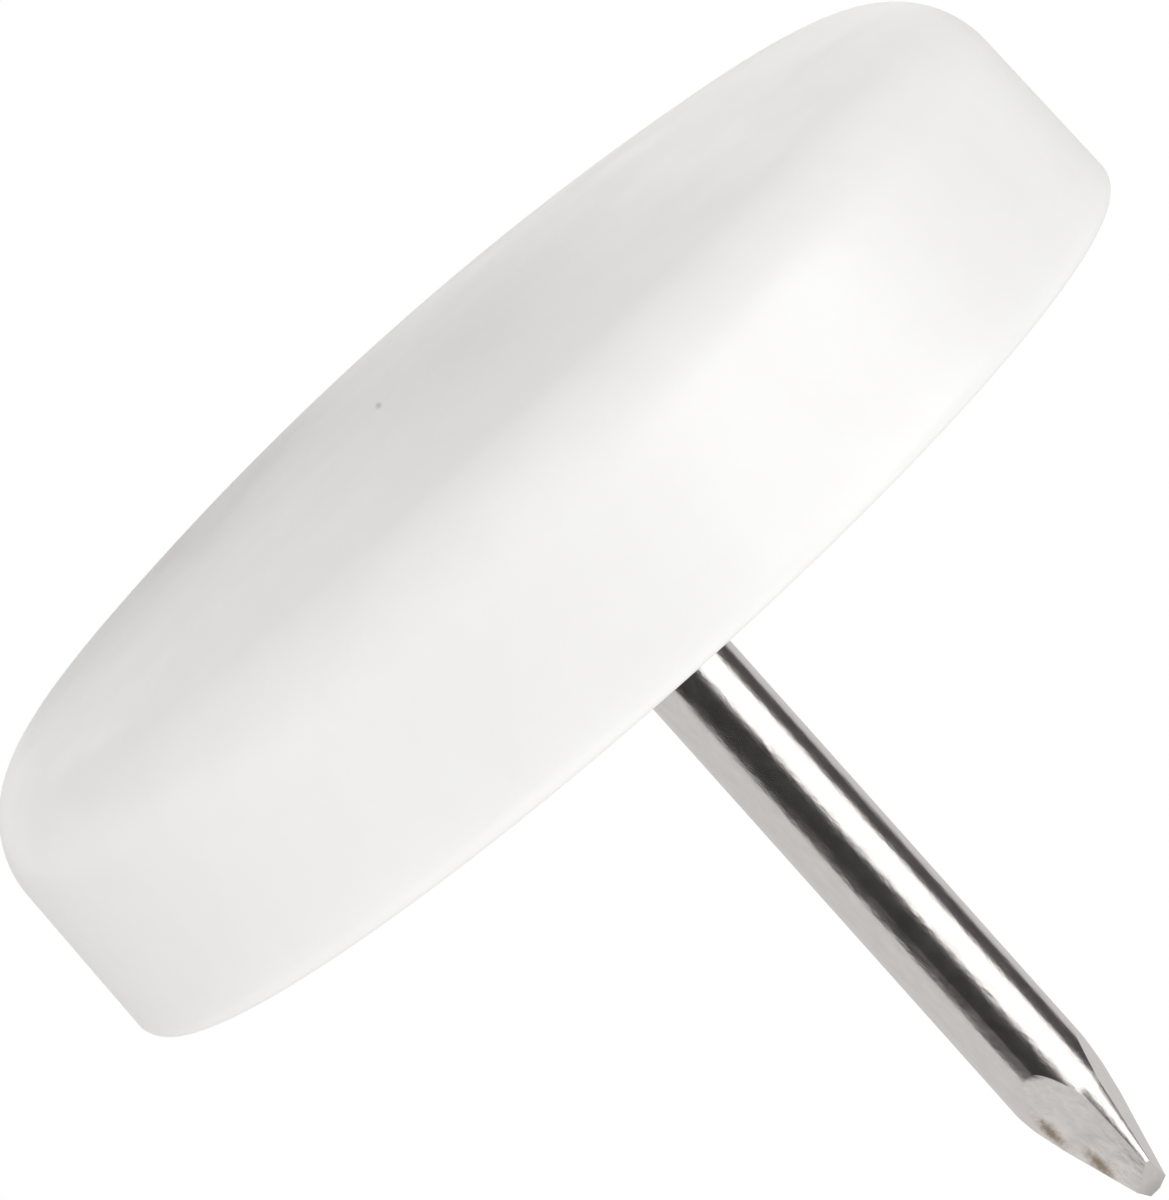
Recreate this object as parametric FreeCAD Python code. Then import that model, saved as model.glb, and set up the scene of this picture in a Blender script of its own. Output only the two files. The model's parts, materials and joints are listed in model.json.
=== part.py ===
"""Nail-on furniture glide: a moulded plastic disc with a steel nail set in it.

Millimetres, +Z up. The origin is the middle of the sole, on the nail's axis, so the glide stands
on its sole with the nail upright.
"""
import FreeCAD
import Part

import math
import os

# Plastic disc
glide_diameter = 25.0       # across the flat back, before its edge is rounded
glide_height = 6.7          # middle of the sole to the flat back
wall_draft = 1.25           # degrees, the wall widens towards the back
sole_flat_diameter = 4.0    # flat in the middle of the sole, where the mould is filled
sole_crown_radius = 59.0    # sphere of the domed sole round that flat
sole_edge_radius = 2.1      # sole into wall
back_edge_radius = 0.4      # wall into back

# Wire nail
nail_diameter = 2.0
nail_length = 20.0          # face of the head to the end of the point
head_diameter = 5.0
head_thickness = 0.8
neck_height = 0.6           # cone from the head to the shank
head_cover = 2.05           # plastic left between the middle of the sole and the head
grip_pitch = 0.65           # marks of the heading dies, from the neck to the disc's back
grip_depth = 0.1

# Diamond point: tapered wire, pinched to four facets and nipped off at a slant
point_length = 2.5          # end of the point to where the wire starts to taper
tapered_radius = 0.56       # wire at the end of its taper, left on the ridges between facets
point_taper = 13.5          # degrees, facet to the point's own axis
point_end_radius = 0.225    # point's own axis to each facet, at the end of the point
point_lean = 5.0            # degrees, the point's own axis to the nail's, towards a sharp ridge
ridge_bearing = -117.5      # degrees from +X to that ridge, the other sharp ridge is opposite
ridge_spread = 49.5         # degrees from a sharp ridge to the facet on each side of it
nip_bearing = -103.0        # degrees from +X to the low side of the nipped end
nip_slant = 45.0            # degrees, end face to a square cut

ORIGIN = FreeCAD.Vector()
AXIS = FreeCAD.Vector(0, 0, 1)
SECTION = Part.Plane(ORIGIN, FreeCAD.Vector(0, -1, 0))

back_radius = glide_diameter / 2
nail_radius = nail_diameter / 2
nail_top = head_cover + nail_length
point_root = AXIS * (nail_top - point_length)


def heading(bearing):
    """Level unit vector at this bearing, in degrees from +X."""
    angle = math.radians(bearing)
    return FreeCAD.Vector(math.cos(angle), math.sin(angle), 0)


def leaning(bearing, slope):
    """Unit vector at this bearing that leans up from level by this slope, in degrees."""
    angle = math.radians(slope)
    return heading(bearing) * math.cos(angle) + AXIS * math.sin(angle)


def beyond(point, normal):
    """Block on the side of a plane that its normal points to, wide enough to trim the nail."""
    block = Part.makeBox(nail_length, nail_length, nail_length)
    block.translate(FreeCAD.Vector(-nail_length / 2, -nail_length / 2, 0))
    block.Placement = FreeCAD.Placement(point, FreeCAD.Rotation(AXIS, normal)) * block.Placement
    return block


def rounded(first, second, radius):
    """Two edges of the section, trimmed back from their corner to the arc that rounds it."""
    fillet = Part.ChFi2d.FilletAPI(first, second, SECTION)
    fillet.perform(radius)
    arc, first, second = fillet.result(first.lastVertex().Point)
    return first, arc, second


def disc():
    """Disc turned from its half section: domed sole, drafted wall and flat back."""
    flat_edge = FreeCAD.Vector(sole_flat_diameter / 2, 0, 0)
    back_corner = FreeCAD.Vector(back_radius, 0, glide_height)
    back_centre = AXIS * glide_height
    wall_foot = back_corner - FreeCAD.Vector(math.tan(math.radians(wall_draft)), 0, 1) * glide_height
    crown_centre = AXIS * math.sqrt(sole_crown_radius ** 2 - flat_edge.x ** 2)
    crown = Part.Circle(crown_centre, SECTION.Axis, sole_crown_radius)
    rim = crown.intersect(Part.LineSegment(wall_foot, back_corner))[0]
    sole_corner = FreeCAD.Vector(rim.X, rim.Y, rim.Z)

    flat = Part.makeLine(ORIGIN, flat_edge)
    sole = Part.ArcOfCircle(crown, crown.parameter(flat_edge), crown.parameter(sole_corner)).toShape()
    wall = Part.makeLine(sole_corner, back_corner)
    back = Part.makeLine(back_corner, back_centre)
    sole, sole_edge, wall = rounded(sole, wall, sole_edge_radius)
    wall, back_edge, back = rounded(wall, back, back_edge_radius)
    core = Part.makeLine(back_centre, ORIGIN)
    section = Part.Face(Part.Wire([flat, sole, sole_edge, wall, back_edge, back, core]))
    return section.revolve(ORIGIN, AXIS, 360)


def grip_marks(foot):
    """Outline of the shallow notches round the shank, from this height to the disc's back."""
    length = glide_height - foot
    count = max(1, round(length / grip_pitch))
    marks = []
    for index in range(count):
        marks.append((nail_radius - grip_depth, foot + length * (index + 0.5) / count))
        marks.append((nail_radius, foot + length * (index + 1) / count))
    return marks


def headed_wire():
    """Nail with its head formed and its far end tapered and still cut square."""
    head_radius = head_diameter / 2
    head_top = head_cover + head_thickness
    neck_top = head_top + neck_height
    outline = [
        (0, head_cover),
        (head_radius, head_cover),
        (head_radius, head_top),
        (nail_radius, neck_top),
        *grip_marks(neck_top),
        (nail_radius, point_root.z),
        (tapered_radius, nail_top),
        (0, nail_top),
    ]
    corners = [FreeCAD.Vector(radius, 0, height) for radius, height in outline]
    section = Part.Face(Part.makePolygon(corners + corners[:1]))
    return section.revolve(ORIGIN, AXIS, 360)


def point_trims():
    """Blocks that pinch the four facets, about an axis that leans, and nip the end off at a slant."""
    facet_bearings = [
        ridge_bearing + ridge_spread,
        ridge_bearing - ridge_spread,
        ridge_bearing + 180 + ridge_spread,
        ridge_bearing + 180 - ridge_spread,
    ]
    lean = FreeCAD.Rotation(AXIS, leaning(ridge_bearing, 90 - point_lean))
    leaned = FreeCAD.Placement(ORIGIN, lean, point_root)
    trims = []
    for bearing in facet_bearings:
        foot = heading(bearing) * point_end_radius + AXIS * nail_top
        trim = beyond(foot, leaning(bearing, point_taper))
        trim.Placement = leaned * trim.Placement
        trims.append(trim)
    trims.append(beyond(AXIS * nail_top, leaning(nip_bearing, 90 - nip_slant)))
    return trims


def nail():
    """Wire nail with a flat head, a plain shank and a diamond point."""
    return headed_wire().cut(point_trims())


def glide_base(set_nail):
    """Plastic disc moulded round the head and shank of the nail."""
    return disc().cut(set_nail)


steel = nail()
pieces = {"glide_base": glide_base(steel), "nail": steel}
os.makedirs("parts", exist_ok=True)
for name, piece in pieces.items():
    piece.exportStep("parts/" + name + ".step")
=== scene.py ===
"""Nail-on furniture glide: a moulded plastic disc, the steel nail set in it, and a plain studio."""
import json
import math

import bmesh
import bpy
from bpy.props import FloatProperty, FloatVectorProperty, IntProperty, PointerProperty
from mathutils import Matrix, Vector


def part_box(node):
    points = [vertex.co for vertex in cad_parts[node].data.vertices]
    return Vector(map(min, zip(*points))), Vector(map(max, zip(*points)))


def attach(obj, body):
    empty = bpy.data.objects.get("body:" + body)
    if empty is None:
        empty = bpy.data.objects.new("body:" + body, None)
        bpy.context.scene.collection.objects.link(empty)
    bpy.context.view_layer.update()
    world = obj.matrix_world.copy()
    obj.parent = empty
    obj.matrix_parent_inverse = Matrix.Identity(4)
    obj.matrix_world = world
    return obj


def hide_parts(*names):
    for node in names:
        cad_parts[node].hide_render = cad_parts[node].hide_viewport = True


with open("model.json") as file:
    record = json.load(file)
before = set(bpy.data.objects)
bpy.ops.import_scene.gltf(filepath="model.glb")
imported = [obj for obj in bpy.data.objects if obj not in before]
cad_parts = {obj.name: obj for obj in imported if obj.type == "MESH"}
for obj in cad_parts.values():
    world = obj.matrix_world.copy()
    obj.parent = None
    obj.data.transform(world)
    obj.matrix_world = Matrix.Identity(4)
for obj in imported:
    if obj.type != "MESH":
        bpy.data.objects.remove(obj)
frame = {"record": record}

bl_info = {
    "name": "Nail-on furniture glide",
    "version": (1, 0, 0),
    "blender": (4, 5, 0),
    "location": "View3D > Sidebar > Glide",
    "description": "Builds a plastic furniture glide with a steel nail, in a plain studio",
    "category": "Add Mesh",
}

MM = 0.001                      # metres
WELD = 1e-4                     # millimetres within which two vertices are one
BODY = "root"
DISC_NODE = "glide_base"
NAIL_NODE = "nail"

# Turn between two faces past which their edge is sharp, or is worn round on the point
DISC_SHARP = math.radians(35)
NAIL_SHARP = math.radians(12)
POINT_SHARP = math.radians(18)

# Faces along each arc of the disc's section, and across a worn edge of the point
SOLE_STEPS = 24
SOLE_EDGE_STEPS = 18
BACK_EDGE_STEPS = 10
WORN_EDGE_STEPS = 3

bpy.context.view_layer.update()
DISC_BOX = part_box(DISC_NODE)
NAIL_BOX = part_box(NAIL_NODE)
SHANK_MOUNT = next(m for m in frame["record"]["mounts"] if m["name"] == "nail_shank")


def length(name, description, default):
    """Property for a length, in metres."""
    return FloatProperty(name=name, description=description, default=default,
                         min=0.0, precision=5, unit="LENGTH")


def angle(name, description, degrees):
    """Property for an angle, given here in degrees."""
    return FloatProperty(name=name, description=description, default=math.radians(degrees),
                         subtype="ANGLE", unit="ROTATION")


def share(name, description, default):
    """Property for a share from 0 to 1."""
    return FloatProperty(name=name, description=description, default=default,
                         min=0.0, max=1.0, subtype="FACTOR")


def tint(name, description, default):
    """Property for a colour."""
    return FloatVectorProperty(name=name, description=description, default=default,
                               size=3, min=0.0, max=4.0, subtype="COLOR")


def spot(name, description, default):
    """Property for a place on the object, in metres."""
    return FloatVectorProperty(name=name, description=description, default=default,
                               size=3, precision=5, subtype="XYZ", unit="LENGTH")


class DiscSettings(bpy.types.PropertyGroup):
    """Sizes and finish of the moulded disc."""
    diameter: length("Diameter", "Across the flat back, before its edge is rounded", 25.0 * MM)
    height: length("Height", "Middle of the sole to the flat back", DISC_BOX[1].z)
    sole_flat: length("Sole flat", "Across the flat in the middle of the sole", 4.0 * MM)
    draft: angle("Draft", "Lean of the wall, which widens towards the back", 1.25)
    crown_radius: length("Crown radius", "Sphere of the sole round its flat", 59.0 * MM)
    sole_edge: length("Sole edge", "Radius from the sole into the wall", 2.1 * MM)
    back_edge: length("Back edge", "Radius from the wall into the back", 0.4 * MM)
    mouth_edge: length("Mouth edge", "Chamfer where the nail leaves the back", 0.12 * MM)
    turn_steps: IntProperty(name="Steps", description="Faces round the disc", default=192, min=24)
    colour: tint("Plastic", "Fresh moulded plastic", (0.86, 0.86, 0.853))
    cloud_colour: tint("Clouding", "Slightly thinner, duller patches", (0.838, 0.835, 0.827))
    roughness: share("Roughness", "Satin of the moulded surface", 0.33)
    light_depth: length("Light depth", "How far light spreads in the plastic", 0.8 * MM)
    speck_place: spot("Speck place", "Dark speck moulded into the sole",
                      (1.043 * MM, -2.923 * MM, 0.048 * MM))
    speck_size: spot("Speck size", "Half of the speck's width, depth and height",
                     (0.1 * MM, 0.5 * MM, 0.15 * MM))
    speck_colour: tint("Speck", "Burnt speck in the plastic", (0.56, 0.54, 0.51))


class NailSettings(bpy.types.PropertyGroup):
    """Sizes and finish of the wire nail."""
    diameter: length("Diameter", "Wire of the shank", 2 * SHANK_MOUNT["dims"]["r_mm"] * MM)
    top: length("Top", "Height of the end of the point", NAIL_BOX[1].z)
    head_foot: length("Head foot", "Height of the face of the head", NAIL_BOX[0].z)
    head_diameter: length("Head diameter", "Head set in the plastic", 2 * NAIL_BOX[1].x)
    head_thickness: length("Head thickness", "Straight part of the head", 0.8 * MM)
    neck_height: length("Neck height", "Cone from the head to the shank", 0.6 * MM)
    grip_depth: length("Grip depth", "Depth of the heading dies' marks", 0.1 * MM)
    grip_pitch: length("Grip pitch", "Spacing of the heading dies' marks", 0.65 * MM)
    point_length: length("Point length", "End of the point to where the wire starts to taper", 2.5 * MM)
    shoulder: length("Shoulder", "Bend from the shank into the taper", 0.25 * MM)
    tapered_radius: length("Tapered radius", "Wire at the end of its taper", 0.56 * MM)
    point_taper: angle("Point taper", "Facet of the point to the point's own axis", 13.5)
    point_end: length("Point end", "Point's own axis to each facet, at its end", 0.225 * MM)
    point_lean: angle("Point lean", "Point's own axis to the nail's, towards a sharp ridge", 5.0)
    ridge_bearing: angle("Ridge bearing", "From +X to that sharp ridge", -117.5)
    ridge_spread: angle("Ridge spread", "From a sharp ridge to the facets beside it", 49.5)
    nip_bearing: angle("Nip bearing", "From +X to the low side of the nipped end", -103.0)
    nip_slant: angle("Nip slant", "End face to a square cut", 45.0)
    edge_round: length("Edge rounding", "Worn edges of the point", 0.04 * MM)
    turn_steps: IntProperty(name="Steps", description="Faces round the nail", default=96, min=24)
    colour: tint("Steel", "Bright drawn and plated wire", (0.817, 0.775, 0.747))
    roughness: share("Roughness", "Polish of the wire", 0.18)
    dull_colour: tint("Dull steel", "Dull spots on the wire", (0.756, 0.715, 0.691))
    dull_roughness: share("Dull roughness", "Polish of the dull spots", 0.25)
    bare_colour: tint("Bare steel", "Nipped end, which has no plating", (0.60, 0.58, 0.55))
    bare_size: length("Bare size", "From the end of the point to where its plating starts", 0.55 * MM)
    stain_colour: tint("Stain", "Rust stain on the point", (0.165, 0.115, 0.055))
    stain_strength: share("Stain strength", "How far a rust stain covers the steel", 0.85)
    low_stain: spot("Lower stain", "Rust stain low on the large facet",
                    (0.721 * MM, -0.566 * MM, 19.70 * MM))
    high_stain: spot("Upper stain", "Rust stain near the end of the large facet",
                     (0.424 * MM, -0.466 * MM, 20.82 * MM))
    stain_size: spot("Stain size", "Half of a rust stain's width, depth and length",
                     (0.18 * MM, 0.18 * MM, 0.72 * MM))


class StudioSettings(bpy.types.PropertyGroup):
    """Camera, light and background."""
    camera_distance: length("Camera distance", "Camera to the aim point", 0.6)
    aim: spot("Aim", "Point at the centre of the picture", (0.581 * MM, -0.349 * MM, 5.883 * MM))
    tilt: angle("Tilt", "How far the camera looks up from below the sole", 7.84)
    roll: angle("Roll", "Nail's lean from straight down, to the right", 41.78)
    frame_height: length("Frame height", "Height of the picture at the aim point", 23.21 * MM)
    floor_size: length("Floor size", "Side of the floor", 4.0)
    floor_colour: tint("Floor", "Pale floor", (0.93, 0.93, 0.93))
    light_bearing: angle("Light bearing", "From the camera towards -X, to the bright side", 22.0)
    light_rise: angle("Light rise", "Bright side over the floor", 22.0)
    bright_colour: tint("Bright side", "Soft light of the bright side", (1.2, 1.2, 1.2))
    dim_colour: tint("Dim side", "Soft light of the side across from it", (0.61, 0.587, 0.555))
    key_power: FloatProperty(name="Key power", description="Soft key lamp, in watts",
                             default=0.05, min=0.0, unit="POWER")
    key_distance: length("Key distance", "Key lamp to the object", 0.35)
    key_size: length("Key size", "Side of the key lamp", 0.2)
    key_rise: angle("Key rise", "Key lamp over the floor", 35.0)


class SceneSettings(bpy.types.PropertyGroup):
    """All that a user may change."""
    disc: PointerProperty(type=DiscSettings)
    nail: PointerProperty(type=NailSettings)
    studio: PointerProperty(type=StudioSettings)


def in_mm(metres):
    """The millimetres that meshes are worked in."""
    return metres / MM


# Mesh work, in millimetres


def extend(bm, vert, radius, height):
    """Carries a half section on in a straight line to this radius and height."""
    end = bmesh.ops.extrude_vert_indiv(bm, verts=[vert])["verts"][0]
    end.co = (radius, 0.0, height)
    return end


def sweep(bm, vert, centre_radius, centre_height, turn, steps):
    """Carries a half section on along an arc that turns from down through outwards to up."""
    arc = bmesh.ops.spin(bm, geom=[vert], cent=(centre_radius, 0.0, centre_height),
                         axis=(0.0, -1.0, 0.0), angle=turn, steps=steps)
    return arc["geom_last"][0]


def turn_section(bm, steps):
    """Spins a half section full circle about the nail's axis, into a closed solid."""
    bmesh.ops.spin(bm, geom=bm.verts[:] + bm.edges[:], cent=(0.0, 0.0, 0.0),
                   axis=(0.0, 0.0, 1.0), angle=math.tau, steps=steps, use_merge=True)
    bmesh.ops.remove_doubles(bm, verts=bm.verts[:], dist=WELD)
    bmesh.ops.recalc_face_normals(bm, faces=bm.faces[:])


def seat_outline(nail, seat_top):
    """Radius and height along the nail's set part, from this height down to the head's face."""
    radius = in_mm(nail.diameter) / 2
    head_radius = in_mm(nail.head_diameter) / 2
    foot = in_mm(nail.head_foot)
    head_top = foot + in_mm(nail.head_thickness)
    neck_top = head_top + in_mm(nail.neck_height)
    grip = seat_top - neck_top
    count = max(1, round(grip / in_mm(nail.grip_pitch)))
    outline = []
    for index in range(count):
        outline.append((radius, seat_top - grip * index / count))
        outline.append((radius - in_mm(nail.grip_depth), seat_top - grip * (index + 0.5) / count))
    outline += [(radius, neck_top), (head_radius, head_top), (head_radius, foot), (0.0, foot)]
    return outline


def finish_piece(bm, name, material, node, sharp_angle):
    """Makes a finished mesh an object in metres that stands for a CAD node."""
    bmesh.ops.scale(bm, vec=(MM, MM, MM), verts=bm.verts[:])
    for face in bm.faces:
        face.smooth = True
    mesh = bpy.data.meshes.new(name)
    bm.to_mesh(mesh)
    bm.free()
    mesh.set_sharp_from_angle(angle=sharp_angle)
    mesh.materials.append(material)
    piece = bpy.data.objects.new(name, mesh)
    bpy.context.scene.collection.objects.link(piece)
    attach(piece, BODY)
    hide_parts(node)


def disc_mesh(disc, nail):
    """Disc turned from its section: domed sole, round edge, drafted wall and flat back."""
    back_radius = in_mm(disc.diameter) / 2
    height = in_mm(disc.height)
    flat_radius = in_mm(disc.sole_flat) / 2
    crown = in_mm(disc.crown_radius)
    sole_edge = in_mm(disc.sole_edge)
    back_edge = in_mm(disc.back_edge)
    mouth_edge = in_mm(disc.mouth_edge)
    lean = disc.draft
    wall_turn = math.pi / 2 - lean

    # The arc of the sole edge touches the crown from inside and the leaning wall
    crown_height = math.sqrt(crown ** 2 - flat_radius ** 2)
    flat_turn = math.asin(flat_radius / crown)
    reach = back_radius * math.cos(lean) + (crown_height - height) * math.sin(lean) - sole_edge
    crown_turn = math.asin(reach / (crown - sole_edge)) - lean
    edge_radius = (crown - sole_edge) * math.sin(crown_turn)
    edge_height = crown_height - (crown - sole_edge) * math.cos(crown_turn)
    rim_radius = back_radius - back_edge * (1 + math.sin(lean)) / math.cos(lean)
    rim_height = height - back_edge
    wall_end_radius = rim_radius + back_edge * math.cos(lean)
    wall_end_height = rim_height - back_edge * math.sin(lean)

    bm = bmesh.new()
    vert = bm.verts.new((0.0, 0.0, 0.0))
    vert = extend(bm, vert, flat_radius, 0.0)
    vert = sweep(bm, vert, 0.0, crown_height, crown_turn - flat_turn, SOLE_STEPS)
    vert = sweep(bm, vert, edge_radius, edge_height, wall_turn - crown_turn, SOLE_EDGE_STEPS)
    vert = extend(bm, vert, wall_end_radius, wall_end_height)
    vert = sweep(bm, vert, rim_radius, rim_height, math.pi - wall_turn, BACK_EDGE_STEPS)
    vert = extend(bm, vert, in_mm(nail.diameter) / 2 + mouth_edge, height)
    # The seat starts under the mouth's chamfer, so its grip marks lie slightly below the nail's
    for radius, level in seat_outline(nail, height - mouth_edge):
        vert = extend(bm, vert, radius, level)
    turn_section(bm, disc.turn_steps)
    return bm


def heading(bearing):
    """Level direction at this bearing from +X."""
    return Vector((math.cos(bearing), math.sin(bearing), 0.0))


def trim(bm, point, normal):
    """Cuts off what lies beyond a plane and closes the cut with one flat face."""
    cut = bmesh.ops.bisect_plane(bm, geom=bm.verts[:] + bm.edges[:] + bm.faces[:], dist=WELD,
                                 plane_co=point, plane_no=normal, clear_outer=True)
    edges = [item for item in cut["geom_cut"] if isinstance(item, bmesh.types.BMEdge)]
    bmesh.ops.contextual_create(bm, geom=edges)


def wear_edges(bm, lowest, rounding):
    """Rounds the sharp edges above this height, which are the edges of the point."""
    edges = [edge for edge in bm.edges
             if min(vert.co.z for vert in edge.verts) > lowest
             and edge.calc_face_angle(0.0) > POINT_SHARP]
    bmesh.ops.bevel(bm, geom=edges, offset=rounding, offset_type="OFFSET", affect="EDGES",
                    segments=WORN_EDGE_STEPS, profile=0.5, material=-1, clamp_overlap=True)


def nail_mesh(nail, back_height):
    """Nail turned from its section, with four facets pinched on its point and its end nipped."""
    up = Vector((0.0, 0.0, 1.0))
    top = up * in_mm(nail.top)
    root = top - up * in_mm(nail.point_length)

    bm = bmesh.new()
    vert = bm.verts.new(top)
    vert = extend(bm, vert, in_mm(nail.tapered_radius), top.z)
    vert = extend(bm, vert, in_mm(nail.diameter) / 2, root.z)
    vert = extend(bm, vert, in_mm(nail.diameter) / 2, root.z - in_mm(nail.shoulder))
    for radius, level in seat_outline(nail, back_height):
        vert = extend(bm, vert, radius, level)
    turn_section(bm, nail.turn_steps)

    own_axis = heading(nail.ridge_bearing) * math.sin(nail.point_lean) + up * math.cos(nail.point_lean)
    lean = up.rotation_difference(own_axis)
    for half in (0.0, math.pi):
        for side in (1, -1):
            outwards = heading(nail.ridge_bearing + half + side * nail.ridge_spread)
            foot = outwards * in_mm(nail.point_end) + top - root
            normal = outwards * math.cos(nail.point_taper) + up * math.sin(nail.point_taper)
            trim(bm, root + lean @ foot, lean @ normal)
    trim(bm, top, heading(nail.nip_bearing) * math.sin(nail.nip_slant) + up * math.cos(nail.nip_slant))
    wear_edges(bm, root.z, in_mm(nail.edge_round))
    return bm


# Shader groups shared by the two finishes

NOISE_MIDDLE = 0.5              # mean of a noise texture


def new_group(name, inputs, outputs):
    """Shader group with these sockets, and its input and output nodes."""
    group = bpy.data.node_groups.new(name, "ShaderNodeTree")
    for direction, sockets in (("INPUT", inputs), ("OUTPUT", outputs)):
        for socket_name, kind in sockets:
            group.interface.new_socket(socket_name, in_out=direction, socket_type=kind)
    return group, group.nodes.new("NodeGroupInput"), group.nodes.new("NodeGroupOutput")


def grain_group(name):
    """Cloudy variation and fine grain of a surface, by place in millimetres."""
    group, given, result = new_group(
        name,
        [("Vector", "NodeSocketVector"),
         ("Cloud Scale", "NodeSocketFloat"),
         ("Grain Scale", "NodeSocketFloat")],
        [("Clouds", "NodeSocketFloat"), ("Grain", "NodeSocketFloat")])
    links = group.links
    clouds = group.nodes.new("ShaderNodeTexNoise")
    clouds.inputs["Detail"].default_value = 4.0
    clouds.inputs["Roughness"].default_value = 0.6
    grain = group.nodes.new("ShaderNodeTexNoise")
    grain.inputs["Detail"].default_value = 3.0
    spread = group.nodes.new("ShaderNodeMapRange")
    spread.inputs["From Min"].default_value = 0.3
    spread.inputs["From Max"].default_value = 0.7
    links.new(given.outputs["Vector"], clouds.inputs["Vector"])
    links.new(given.outputs["Vector"], grain.inputs["Vector"])
    links.new(given.outputs["Cloud Scale"], clouds.inputs["Scale"])
    links.new(given.outputs["Grain Scale"], grain.inputs["Scale"])
    links.new(clouds.outputs["Fac"], spread.inputs["Value"])
    links.new(spread.outputs["Result"], result.inputs["Clouds"])
    links.new(grain.outputs["Fac"], result.inputs["Grain"])
    return group


def blot_group(name):
    """Ragged blot round a centre, which reaches as far as its size each way, in millimetres."""
    group, given, result = new_group(
        name,
        [("Vector", "NodeSocketVector"),
         ("Centre", "NodeSocketVector"),
         ("Size", "NodeSocketVector"),
         ("Ragged", "NodeSocketFloat")],
        [("Mask", "NodeSocketFloat")])
    links = group.links
    offset = group.nodes.new("ShaderNodeVectorMath")
    offset.operation = "SUBTRACT"
    share_of = group.nodes.new("ShaderNodeVectorMath")
    share_of.operation = "DIVIDE"
    distance = group.nodes.new("ShaderNodeVectorMath")
    distance.operation = "LENGTH"
    edge = group.nodes.new("ShaderNodeTexNoise")
    edge.inputs["Scale"].default_value = 9.0
    edge.inputs["Detail"].default_value = 4.0
    centred = group.nodes.new("ShaderNodeMath")
    centred.operation = "SUBTRACT"
    centred.inputs[1].default_value = NOISE_MIDDLE
    ragged = group.nodes.new("ShaderNodeMath")
    ragged.operation = "MULTIPLY_ADD"
    mask = group.nodes.new("ShaderNodeMapRange")
    mask.interpolation_type = "SMOOTHSTEP"
    mask.inputs["From Min"].default_value = 1.0
    mask.inputs["From Max"].default_value = 0.1
    links.new(given.outputs["Vector"], offset.inputs[0])
    links.new(given.outputs["Centre"], offset.inputs[1])
    links.new(offset.outputs["Vector"], share_of.inputs[0])
    links.new(given.outputs["Size"], share_of.inputs[1])
    links.new(share_of.outputs["Vector"], distance.inputs[0])
    links.new(given.outputs["Vector"], edge.inputs["Vector"])
    links.new(edge.outputs["Fac"], centred.inputs[0])
    links.new(centred.outputs["Value"], ragged.inputs[0])
    links.new(given.outputs["Ragged"], ragged.inputs[1])
    links.new(distance.outputs["Value"], ragged.inputs[2])
    links.new(ragged.outputs["Value"], mask.inputs["Value"])
    links.new(mask.outputs["Result"], result.inputs["Mask"])
    return group


def place_group(tree, place, name, build):
    """Places the shader group of this name, which is built the first time that it is asked for."""
    node = tree.nodes.new("ShaderNodeGroup")
    node.node_tree = bpy.data.node_groups.get(name) or build(name)
    tree.links.new(place, node.inputs["Vector"])
    return node


def place_grain(tree, place, clouds, grains):
    """Surface grain with so many clouds and grains to the millimetre."""
    node = place_group(tree, place, "Surface grain", grain_group)
    node.inputs["Cloud Scale"].default_value = clouds
    node.inputs["Grain Scale"].default_value = grains
    return node


def place_blot(tree, place, centre, size, ragged):
    """Mask of a blot, with its centre and size in metres."""
    node = place_group(tree, place, "Blot", blot_group)
    node.inputs["Centre"].default_value = [in_mm(x) for x in centre]
    node.inputs["Size"].default_value = [in_mm(x) for x in size]
    node.inputs["Ragged"].default_value = ragged
    return node.outputs["Mask"]


# Materials

# Colour sockets of a mix node, which come after its sockets for values and vectors
MIX_FIRST = 6
MIX_SECOND = 7
MIX_RESULT = 2

PLASTIC_CLOUDS = 0.45           # to the millimetre
PLASTIC_GRAINS = 9.0            # to the millimetre
PLASTIC_RELIEF = 0.01 * MM      # height of the grain
PLASTIC_RELIEF_STRENGTH = 0.25
PLASTIC_ROUGHNESS_SPREAD = 0.05
PLASTIC_IOR = 1.5
PLASTIC_DEPTH_SHARE = 0.45      # share of the light that spreads in the plastic
SPECK_RAGGED = 0.4

WIRE_CLOUDS = 5.0               # to the millimetre
WIRE_GRAINS = 9.0               # to the millimetre
WIRE_RELIEF = 0.009 * MM        # height of the grain
WIRE_RELIEF_STRENGTH = 0.5
WIRE_DRAWN = 0.4                # clouds and grains along the wire, for each one across it
STAIN_RAGGED = 0.9
STAIN_METALLIC = 0.3
BARE_RAGGED = 0.3


def new_material(name):
    """Empty material with its shader, and Object coordinates turned to millimetres."""
    material = bpy.data.materials.new(name)
    material.use_nodes = True
    nodes = material.node_tree.nodes
    shader = nodes["Principled BSDF"]
    place = nodes.new("ShaderNodeTexCoord")
    scaled = nodes.new("ShaderNodeMapping")
    scaled.inputs["Scale"].default_value = (1 / MM, 1 / MM, 1 / MM)
    material.node_tree.links.new(place.outputs["Object"], scaled.inputs["Vector"])
    return material, shader, scaled.outputs["Vector"]


def mix_colours(tree, factor, first, second):
    """Mix of two colours by a mask. Each is a colour or an output."""
    mix = tree.nodes.new("ShaderNodeMix")
    mix.data_type = "RGBA"
    tree.links.new(factor, mix.inputs["Factor"])
    for socket, value in ((mix.inputs[MIX_FIRST], first), (mix.inputs[MIX_SECOND], second)):
        if isinstance(value, bpy.types.NodeSocket):
            tree.links.new(value, socket)
        else:
            socket.default_value = (*value, 1.0)
    return mix.outputs[MIX_RESULT]


def remap(tree, value, low, high):
    """A value from 0 to 1 carried to this range."""
    node = tree.nodes.new("ShaderNodeMapRange")
    node.inputs["To Min"].default_value = low
    node.inputs["To Max"].default_value = high
    tree.links.new(value, node.inputs["Value"])
    return node.outputs["Result"]


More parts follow.
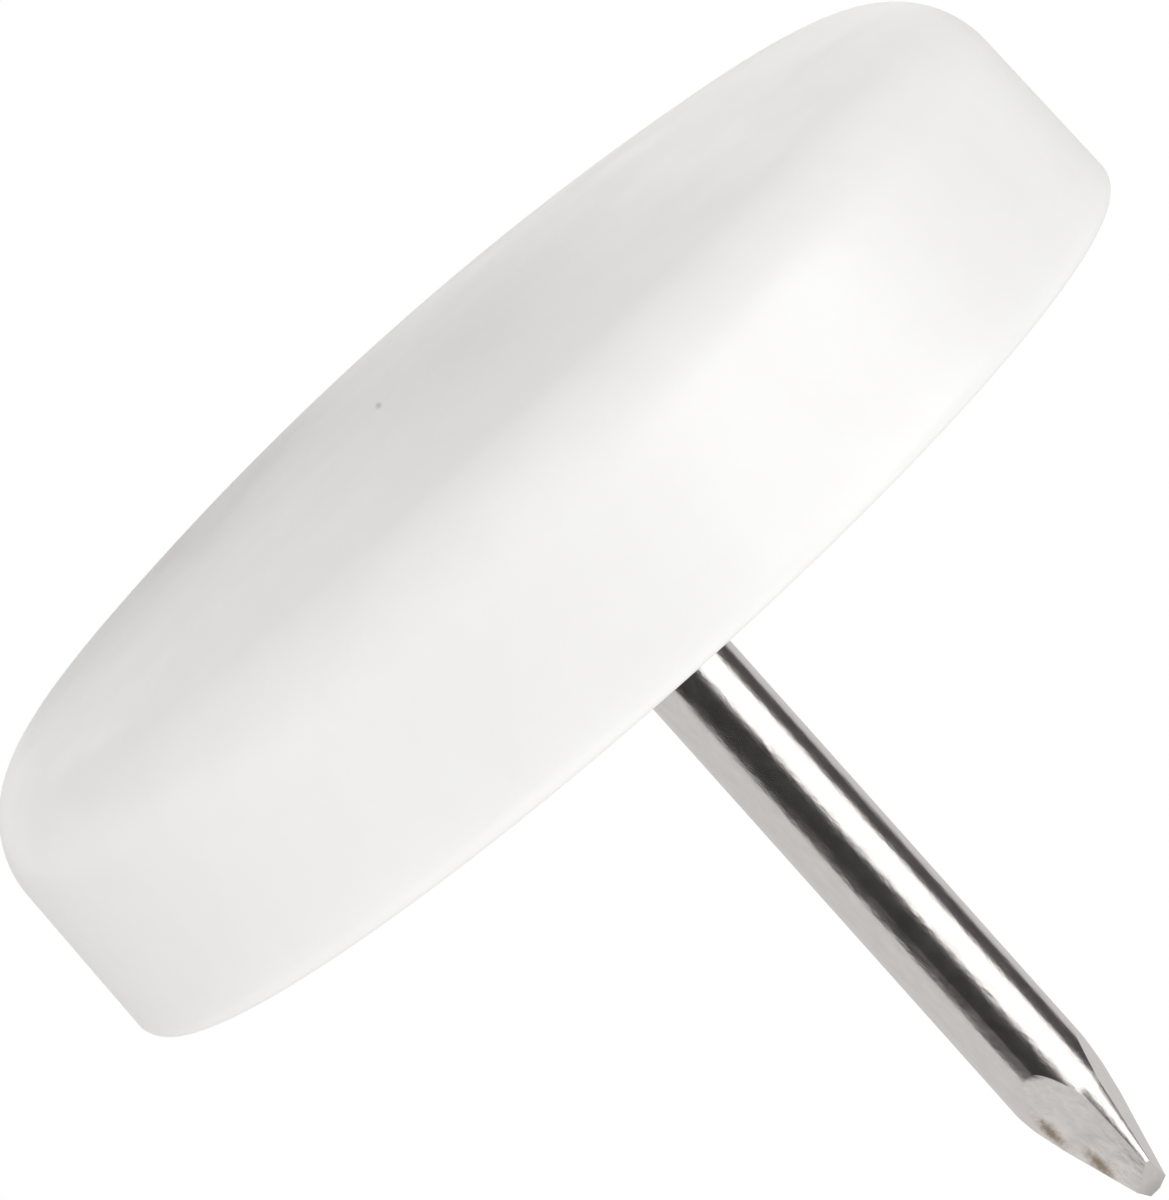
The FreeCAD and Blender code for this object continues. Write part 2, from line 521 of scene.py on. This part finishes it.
def bump(tree, height, distance, strength):
    """Normal roughened by a height."""
    node = tree.nodes.new("ShaderNodeBump")
    node.inputs["Strength"].default_value = strength
    node.inputs["Distance"].default_value = distance
    tree.links.new(height, node.inputs["Height"])
    return node.outputs["Normal"]


def plastic_material(disc):
    """Satin white moulded plastic, faintly clouded, with one burnt speck."""
    material, shader, place = new_material("moulded_plastic")
    tree = material.node_tree
    grain = place_grain(tree, place, PLASTIC_CLOUDS, PLASTIC_GRAINS)
    speck = place_blot(tree, place, disc.speck_place, disc.speck_size, SPECK_RAGGED)
    clouded = mix_colours(tree, grain.outputs["Clouds"], disc.colour, disc.cloud_colour)
    specked = mix_colours(tree, speck, clouded, disc.speck_colour)
    rough = remap(tree, grain.outputs["Clouds"], disc.roughness - PLASTIC_ROUGHNESS_SPREAD,
                  disc.roughness + PLASTIC_ROUGHNESS_SPREAD)
    normal = bump(tree, grain.outputs["Grain"], PLASTIC_RELIEF, PLASTIC_RELIEF_STRENGTH)
    tree.links.new(specked, shader.inputs["Base Color"])
    tree.links.new(rough, shader.inputs["Roughness"])
    tree.links.new(normal, shader.inputs["Normal"])
    shader.inputs["IOR"].default_value = PLASTIC_IOR
    shader.inputs["Subsurface Weight"].default_value = PLASTIC_DEPTH_SHARE
    shader.inputs["Subsurface Radius"].default_value = (1.0, 1.0, 1.0)
    shader.inputs["Subsurface Scale"].default_value = disc.light_depth
    return material


def steel_material(nail):
    """Bright drawn wire with dull spots, rust stains on the point and a bare nipped end."""
    material, shader, place = new_material("bright_wire")
    tree = material.node_tree
    drawn = tree.nodes.new("ShaderNodeMapping")
    drawn.inputs["Scale"].default_value = (1.0, 1.0, WIRE_DRAWN)
    tree.links.new(place, drawn.inputs["Vector"])
    grain = place_grain(tree, drawn.outputs["Vector"], WIRE_CLOUDS, WIRE_GRAINS)
    low_stain = place_blot(tree, place, nail.low_stain, nail.stain_size, STAIN_RAGGED)
    high_stain = place_blot(tree, place, nail.high_stain, nail.stain_size, STAIN_RAGGED)
    bare = place_blot(tree, place, (0.0, 0.0, nail.top), [nail.bare_size] * 3, BARE_RAGGED)
    both = tree.nodes.new("ShaderNodeMath")
    both.operation = "MAXIMUM"
    tree.links.new(low_stain, both.inputs[0])
    tree.links.new(high_stain, both.inputs[1])
    stain = remap(tree, both.outputs["Value"], 0.0, nail.stain_strength)

    plated = mix_colours(tree, grain.outputs["Clouds"], nail.colour, nail.dull_colour)
    nipped = mix_colours(tree, bare, plated, nail.bare_colour)
    stained = mix_colours(tree, stain, nipped, nail.stain_colour)
    rough = remap(tree, grain.outputs["Clouds"], nail.roughness, nail.dull_roughness)
    metallic = remap(tree, stain, 1.0, STAIN_METALLIC)
    normal = bump(tree, grain.outputs["Grain"], WIRE_RELIEF, WIRE_RELIEF_STRENGTH)
    tree.links.new(stained, shader.inputs["Base Color"])
    tree.links.new(rough, shader.inputs["Roughness"])
    tree.links.new(metallic, shader.inputs["Metallic"])
    tree.links.new(normal, shader.inputs["Normal"])
    return material


# Studio

FLOOR_ROUGHNESS = 0.9
CLIP_NEAR = 0.1                 # share of the camera's distance
CLIP_FAR = 2.0                  # share of the floor's side
CARD_DISTANCE = 0.45            # metres from the middle of the sole
CARD_RISE_STEPS = 12
CARD_BEARING_STEPS = 24

# Name, first and last bearing from the camera towards -X, lowest and highest rise, grey level
CARDS = (
    # Stripes in the shank
    ("camera_flag", -52, 20, -25, 18, 0.01),
    ("bright_card", 20, 79, -25, 18, 1.5),
    ("side_flag", 79, 122, -25, 18, 0.05),
    ("far_card", 122, 205, 0, 60, 0.66),
    ("grey_card", -155, -52, 0, 18, 0.675),
    # Above those, for the facets of the point
    ("camera_upper", -32, 44, 18, 60, 0.01),
    ("camera_left", -52, -32, 18, 24.5, 0.01),
    ("bright_upper", 44, 72, 18, 60, 1.5),
    ("side_upper", 72, 122, 18, 60, 0.05),
    ("grey_upper", -155, -52, 18, 60, 0.78),
    ("grey_front", -52, -32, 24.5, 60, 0.78),
    ("top_card", -180, 180, 60, 90, 0.64),
    # Low behind the disc, for the sole
    ("far_gap", 177.5, 180.6, -24, -9, 0.02),
    ("far_gap_left", 180.6, 184, -12, 0, 0.05),
    ("far_level", 177.5, 180.6, -9, 0, 1.2),
    ("far_below_left", 180.6, 184, -24, -12, 0.95),
    ("far_low_right", 160, 177.5, -24, 0, 1.15),
    ("far_side_right", 122, 160, -24, 0, 0.7),
    ("far_low_left", 184, 265, -24, 0, 1.0),
    # Below, for the edge of the sole
    ("far_lower_card", 95, 265, -60, -24, 0.6),
    ("front_low_card", -95, 95, -60, -25, 0.3),
    ("under_card", -180, 180, -90, -60, 0.4),
)


def studio_direction(bearing, rise):
    """Direction at this bearing from the camera's side towards -X, and this rise over the floor."""
    level = math.cos(rise)
    return Vector((-math.sin(bearing) * level, -math.cos(bearing) * level, math.sin(rise)))


def glow_material(name, level):
    """Plain grey light."""
    material = bpy.data.materials.new(name)
    material.use_nodes = True
    tree = material.node_tree
    tree.nodes.remove(tree.nodes["Principled BSDF"])
    light = tree.nodes.new("ShaderNodeEmission")
    light.inputs["Color"].default_value = (level, level, level, 1.0)
    tree.links.new(light.outputs["Emission"], tree.nodes["Material Output"].inputs["Surface"])
    return material


def add_card(name, first, last, low, high, level):
    """Card curved round the object that only shows in polished surfaces."""
    bm = bmesh.new()
    foot = bm.verts.new(studio_direction(math.radians(first), math.radians(low)) * CARD_DISTANCE)
    level_axis = studio_direction(math.radians(first + 90), 0.0)
    bmesh.ops.spin(bm, geom=[foot], cent=(0.0, 0.0, 0.0), axis=level_axis,
                   angle=math.radians(high - low), steps=CARD_RISE_STEPS)
    bmesh.ops.spin(bm, geom=bm.verts[:] + bm.edges[:], cent=(0.0, 0.0, 0.0), axis=(0.0, 0.0, 1.0),
                   angle=math.radians(first - last), steps=CARD_BEARING_STEPS)
    mesh = bpy.data.meshes.new(name)
    bm.to_mesh(mesh)
    bm.free()
    mesh.materials.append(glow_material(name, level))
    card = bpy.data.objects.new(name, mesh)
    bpy.context.scene.collection.objects.link(card)
    card.visible_camera = False
    card.visible_diffuse = False
    card.visible_transmission = False
    card.visible_shadow = False


def floor_material(colour):
    """Pale floor that can be looked through from below."""
    material = bpy.data.materials.new("pale_floor")
    material.use_nodes = True
    tree = material.node_tree
    shader = tree.nodes["Principled BSDF"]
    shader.inputs["Base Color"].default_value = (*colour, 1.0)
    shader.inputs["Roughness"].default_value = FLOOR_ROUGHNESS
    shader.inputs["Specular IOR Level"].default_value = 0.0
    side = tree.nodes.new("ShaderNodeNewGeometry")
    clear = tree.nodes.new("ShaderNodeBsdfTransparent")
    mix = tree.nodes.new("ShaderNodeMixShader")
    tree.links.new(side.outputs["Backfacing"], mix.inputs["Fac"])
    tree.links.new(shader.outputs["BSDF"], mix.inputs[1])
    tree.links.new(clear.outputs["BSDF"], mix.inputs[2])
    tree.links.new(mix.outputs["Shader"], tree.nodes["Material Output"].inputs["Surface"])
    return material


def add_floor(studio):
    """Floor under the sole, which takes the object's shadow and blocks no light."""
    bm = bmesh.new()
    bmesh.ops.create_grid(bm, x_segments=1, y_segments=1, size=studio.floor_size / 2)
    mesh = bpy.data.meshes.new("floor")
    bm.to_mesh(mesh)
    bm.free()
    mesh.materials.append(floor_material(studio.floor_colour))
    floor = bpy.data.objects.new("floor", mesh)
    bpy.context.scene.collection.objects.link(floor)
    floor.visible_diffuse = False
    floor.visible_glossy = False
    floor.visible_transmission = False
    floor.visible_shadow = False


def add_world(studio):
    """Soft light, brighter from one side, in front of a white background."""
    world = bpy.data.worlds.new("studio")
    world.use_nodes = True
    bpy.context.scene.world = world
    tree = world.node_tree
    links = tree.links
    place = tree.nodes.new("ShaderNodeTexCoord")
    facing = tree.nodes.new("ShaderNodeVectorMath")
    facing.operation = "DOT_PRODUCT"
    facing.inputs[1].default_value = studio_direction(studio.light_bearing, studio.light_rise)
    bright = tree.nodes.new("ShaderNodeMapRange")
    bright.inputs["From Min"].default_value = -1.0
    links.new(place.outputs["Generated"], facing.inputs[0])
    links.new(facing.outputs["Value"], bright.inputs["Value"])
    soft = mix_colours(tree, bright.outputs["Result"], studio.dim_colour, studio.bright_colour)
    path = tree.nodes.new("ShaderNodeLightPath")
    seen = tree.nodes.new("ShaderNodeMath")
    seen.operation = "MAXIMUM"
    links.new(path.outputs["Is Camera Ray"], seen.inputs[0])
    links.new(path.outputs["Is Glossy Ray"], seen.inputs[1])
    shown = tree.nodes.new("ShaderNodeMath")
    shown.operation = "MAXIMUM"
    links.new(seen.outputs["Value"], shown.inputs[0])
    links.new(path.outputs["Is Transmission Ray"], shown.inputs[1])
    light = mix_colours(tree, shown.outputs["Value"], soft, (1.0, 1.0, 1.0))
    links.new(light, tree.nodes["Background"].inputs["Color"])


def add_key(studio):
    """Soft key lamp above the bright side."""
    lamp = bpy.data.lights.new("key", "AREA")
    lamp.energy = studio.key_power
    lamp.size = studio.key_size
    key = bpy.data.objects.new("key", lamp)
    direction = studio_direction(studio.light_bearing, studio.key_rise)
    key.location = direction * studio.key_distance
    key.rotation_euler = direction.to_track_quat("Z", "Y").to_euler()
    key.visible_camera = False
    key.visible_glossy = False
    bpy.context.scene.collection.objects.link(key)


def add_camera(studio):
    """Long lens that looks a little up from below the sole, with the nail to the lower right."""
    forward = Vector((0.0, math.cos(studio.tilt), math.sin(studio.tilt)))
    across = Vector((1.0, 0.0, 0.0))
    upright = across.cross(forward)
    right = upright * math.sin(studio.roll) - across * math.cos(studio.roll)
    up = -upright * math.cos(studio.roll) - across * math.sin(studio.roll)
    aim = Vector(studio.aim)
    data = bpy.data.cameras.new("camera")
    data.lens = data.sensor_width * studio.camera_distance / studio.frame_height
    data.clip_start = studio.camera_distance * CLIP_NEAR
    data.clip_end = studio.floor_size * CLIP_FAR
    camera = bpy.data.objects.new("camera", data)
    bpy.context.scene.collection.objects.link(camera)
    turned = Matrix((right, up, -forward)).transposed().to_4x4()
    camera.matrix_world = Matrix.Translation(aim - forward * studio.camera_distance) @ turned
    bpy.context.scene.camera = camera


class GLIDE_OT_disc(bpy.types.Operator):
    """Build the moulded plastic disc"""
    bl_idname = "glide.disc"
    bl_label = "Moulded disc"

    def execute(self, context):
        settings = context.scene.glide
        bm = disc_mesh(settings.disc, settings.nail)
        finish_piece(bm, "moulded_disc", plastic_material(settings.disc),
                     DISC_NODE, DISC_SHARP)
        return {"FINISHED"}


class GLIDE_OT_nail(bpy.types.Operator):
    """Build the steel nail"""
    bl_idname = "glide.nail"
    bl_label = "Wire nail"

    def execute(self, context):
        settings = context.scene.glide
        bm = nail_mesh(settings.nail, in_mm(settings.disc.height))
        finish_piece(bm, "wire_nail", steel_material(settings.nail),
                     NAIL_NODE, NAIL_SHARP)
        return {"FINISHED"}


class GLIDE_OT_studio(bpy.types.Operator):
    """Set up the floor, light and camera"""
    bl_idname = "glide.studio"
    bl_label = "Studio"

    def execute(self, context):
        studio = context.scene.glide.studio
        add_floor(studio)
        add_world(studio)
        add_key(studio)
        for card in CARDS:
            add_card(*card)
        add_camera(studio)
        context.scene.view_settings.view_transform = "Standard"
        return {"FINISHED"}


class GLIDE_PT_panel(bpy.types.Panel):
    """Builds the glide and its studio"""
    bl_idname = "GLIDE_PT_panel"
    bl_label = "Furniture glide"
    bl_space_type = "VIEW_3D"
    bl_region_type = "UI"
    bl_category = "Glide"

    def draw(self, context):
        for operator in (GLIDE_OT_disc, GLIDE_OT_nail, GLIDE_OT_studio):
            self.layout.operator(operator.bl_idname)


CLASSES = (DiscSettings, NailSettings, StudioSettings, SceneSettings,
           GLIDE_OT_disc, GLIDE_OT_nail, GLIDE_OT_studio, GLIDE_PT_panel)


def register():
    """Adds the classes and the scene's settings."""
    for item in CLASSES:
        bpy.utils.register_class(item)
    bpy.types.Scene.glide = PointerProperty(type=SceneSettings)


def unregister():
    """Removes the classes and the scene's settings."""
    del bpy.types.Scene.glide
    for item in reversed(CLASSES):
        bpy.utils.unregister_class(item)


def main():
    """Builds the glide in its studio."""
    register()
    bpy.ops.glide.disc()
    bpy.ops.glide.nail()
    bpy.ops.glide.studio()


if __name__ == "__main__":
    main()
